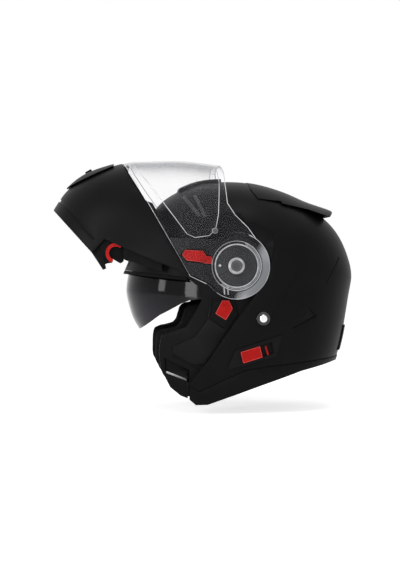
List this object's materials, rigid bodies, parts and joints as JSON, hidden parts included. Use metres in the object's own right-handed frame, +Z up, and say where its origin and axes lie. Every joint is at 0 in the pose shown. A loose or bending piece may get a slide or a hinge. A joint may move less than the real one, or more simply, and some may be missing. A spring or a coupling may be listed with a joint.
{
  "type": "modular motorcycle helmet",
  "caption": "Flip-front motorcycle helmet with a hinged chin bar, clear visor, drop-down sun visor, padded liner and ratchet chin strap, shown with chin bar raised.",
  "frame": {"origin": "middle of the pivot axis of the chin bar, which is the middle of the head form", "axes": "-X towards the face, -Y towards the wearer's left, +Z up, as worn"},
  "size_m": [0.3938, 0.2502, 0.3139],
  "materials": {
    "shell_paint": "matte black",
    "rubber": "black rubber",
    "foam": "dark bead foam",
    "comfort_fabric": "dark brushed cloth",
    "webbing": "black webbing",
    "plate_plastic": "moulded dark grey",
    "cap_plastic": "smooth dark grey",
    "red_plastic": "satin red",
    "clear_sheet": "clear polished sheet",
    "insert_sheet": "clear thin sheet",
    "smoke_sheet": "smoked polished sheet",
    "steel": "plain steel",
    "polished_stud": "polished"
  },
  "bodies": {
    "shell": {"outer_shell": "shell_paint", "brow_gasket": "rubber", "base_trim": "shell_paint", "rear_spoiler": "shell_paint", "crown_vent": "shell_paint", "rear_vent": "shell_paint", "slider_panel": "shell_paint", "impact_liner": "foam", "crown_pad": "comfort_fabric", "neck_roll": "comfort_fabric", "buckle_body": "steel", "strap_tongue": "steel", "side_scoop_left": "shell_paint", "side_scoop_right": "shell_paint", "strap_rivet_left": "polished_stud", "strap_rivet_right": "polished_stud", "strap_hanger_left": "steel", "strap_hanger_right": "steel", "strap_left": "webbing", "strap_right": "webbing", "cheek_pad_left": "comfort_fabric", "cheek_pad_right": "comfort_fabric", "pivot_base_left": "plate_plastic", "pivot_base_right": "plate_plastic", "sun_visor_screw_left": "steel", "sun_visor_screw_right": "steel", "latch_striker_left": "steel", "latch_striker_right": "steel", "cheek_panel_left": "shell_paint", "cheek_panel_right": "shell_paint"},
    "chin_bar": {"chin_bar_shell": "shell_paint", "chin_vent_cover": "shell_paint", "chin_bar_liner": "foam", "visor_gasket": "rubber", "chin_seal_left": "rubber", "chin_seal_right": "rubber", "hinge_plate_left": "plate_plastic", "hinge_plate_right": "plate_plastic", "hub_cap_left": "cap_plastic", "hub_cap_right": "cap_plastic"},
    "visor": {"clear_visor": "clear_sheet", "antifog_insert": "insert_sheet", "insert_pin_left": "cap_plastic", "insert_pin_right": "cap_plastic"},
    "sun_visor": {"sun_visor": "smoke_sheet"},
    "sun_slider": {"sun_visor_slider": "red_plastic"},
    "crown_slider": {"crown_vent_slider": "plate_plastic"},
    "chin_slider": {"chin_vent_slider": "plate_plastic"},
    "release_button": {"chin_release_button": "plate_plastic"},
    "hook_left": {"latch_hook_left": "red_plastic"},
    "hook_right": {"latch_hook_right": "red_plastic"},
    "release_lever_left": {"visor_release_left": "red_plastic"},
    "release_lever_right": {"visor_release_right": "red_plastic"},
    "open_lock": {"open_lock": "red_plastic"},
    "buckle_lever": {"buckle_lever": "red_plastic"}
  },
  "joints": [
    {"name": "chin_bar_flip", "type": "hinge", "parent": "shell", "child": "chin_bar", "pos_m": [0, 0, 0], "axis": [0, -1, 0], "range_deg": [0, 74]},
    {"name": "visor_tilt", "type": "hinge", "parent": "chin_bar", "child": "visor", "pos_m": [0, 0, 0], "axis": [0, 1, 0], "range_deg": [0, 45]},
    {"name": "sun_visor_tilt", "type": "hinge", "parent": "shell", "child": "sun_visor", "pos_m": [-0.018, 0, -0.038], "axis": [0, 1, 0], "range_deg": [0, 42]},
    {"name": "sun_visor_slide", "type": "slide", "parent": "shell", "child": "sun_slider", "axis": [0.9588, 0, 0.284], "range_m": [0, 0.0091]},
    {"name": "crown_vent_slide", "type": "slide", "parent": "shell", "child": "crown_slider", "axis": [0.977, 0, 0.213], "range_m": [0, 0.008]},
    {"name": "chin_vent_slide", "type": "slide", "parent": "chin_bar", "child": "chin_slider", "axis": [-0.8725, 0, -0.4886], "range_m": [0, 0.007]},
    {"name": "chin_release_press", "type": "slide", "parent": "chin_bar", "child": "release_button", "axis": [0.7306, 0, 0.6828], "range_m": [0, 0.004], "stiffness_N_per_m": 800, "springref_m": -0.002},
    {"name": "hook_swing_left", "type": "hinge", "parent": "chin_bar", "child": "hook_left", "pos_m": [-0.1457, -0.10295, 0.02518], "axis": [0, 1, 0], "range_deg": [0, 14]},
    {"name": "hook_swing_right", "type": "hinge", "parent": "chin_bar", "child": "hook_right", "pos_m": [-0.1457, 0.10295, 0.02518], "axis": [0, 1, 0], "range_deg": [0, 14]},
    {"name": "visor_release_left", "type": "hinge", "parent": "chin_bar", "child": "release_lever_left", "pos_m": [-0.0345, -0.116, 0.007], "axis": [0, -1, 0], "range_deg": [0, 3], "stiffness_Nm_per_rad": 0.05, "springref_deg": -5.73},
    {"name": "visor_release_right", "type": "hinge", "parent": "chin_bar", "child": "release_lever_right", "pos_m": [-0.0345, 0.116, 0.007], "axis": [0, -1, 0], "range_deg": [0, 3], "stiffness_Nm_per_rad": 0.05, "springref_deg": -5.73},
    {"name": "open_lock_slide", "type": "slide", "parent": "shell", "child": "open_lock", "axis": [-0.5, 0, -0.866], "range_m": [0, 0.004]},
    {"name": "buckle_lever_lift", "type": "hinge", "parent": "shell", "child": "buckle_lever", "pos_m": [0.0335, -0.0125, -0.1455], "axis": [-1, 0, 0], "range_deg": [0, 50], "stiffness_Nm_per_rad": 0.02, "springref_deg": -17.19}
  ],
  "couplings": [
    {"joint": "sun_visor_slide", "follows": "sun_visor_tilt", "m_per_rad": 0.0122},
    {"joint": "hook_swing_left", "follows": "chin_release_press", "rad_per_m": 60},
    {"joint": "hook_swing_right", "follows": "chin_release_press", "rad_per_m": 60}
  ]
}
